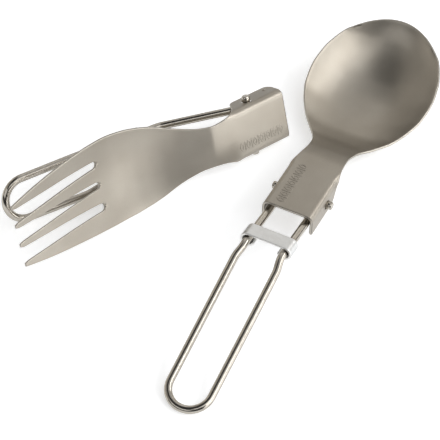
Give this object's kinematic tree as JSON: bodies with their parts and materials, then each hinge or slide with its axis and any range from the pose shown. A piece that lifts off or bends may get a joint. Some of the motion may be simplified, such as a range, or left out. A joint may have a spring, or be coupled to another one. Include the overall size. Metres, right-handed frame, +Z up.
{
  "type": "folding camp cutlery set",
  "caption": "Folding camp spoon and fork: stamped sheet heads, wire loop handles hinged in channel shanks, and sliding lock collars.",
  "frame": {"origin": "centre of the set's footprint, on the surface it lies on", "axes": "+Y along the spoon from its wire loop to its bowl, +Z up, +X to the right seen from the handle end with the bowl's hollow upwards"},
  "size_m": [0.1086, 0.172, 0.0328],
  "materials": {
    "satin_sheet": "bead-blasted titanium sheet, fine satin grain",
    "polished_wire": "drawn titanium wire, polished",
    "brushed_collar": "brushed sheet with bright worn curls"
  },
  "bodies": {
    "spoon_head": {"spoon_head": "satin_sheet"},
    "spoon_handle": {"spoon_handle_wire": "polished_wire"},
    "spoon_lock": {"spoon_lock_collar": "brushed_collar"},
    "fork_head": {"fork_head": "satin_sheet"},
    "fork_handle": {"fork_handle_wire": "polished_wire"},
    "fork_lock": {"fork_lock_collar": "brushed_collar"}
  },
  "joints": [
    {"name": "spoon_handle_fold", "type": "hinge", "parent": "spoon_head", "child": "spoon_handle", "pos_m": [0.03161, 0.00264, 0.0098], "axis": [1, 0, 0], "range_deg": [0, 160]},
    {"name": "spoon_lock_slide", "type": "slide", "parent": "spoon_handle", "child": "spoon_lock", "axis": [0, 0.987, -0.1607], "range_m": [0, 0.0098]},
    {"name": "fork_lift", "type": "slide", "parent": "spoon_head", "child": "fork_head", "axis": [0, 0, 1], "range_m": [0, 0.1]},
    {"name": "fork_handle_fold", "type": "hinge", "parent": "fork_head", "child": "fork_handle", "pos_m": [0.00301, 0.02214, 0.01102], "axis": [-0.3363, 0.2826, 0.8983], "range_deg": [-126, 6]},
    {"name": "fork_lock_slide", "type": "slide", "parent": "fork_handle", "child": "fork_lock", "axis": [0.5315, 0.8444, -0.0666], "range_m": [-0.0095, 0.0052]}
  ]
}
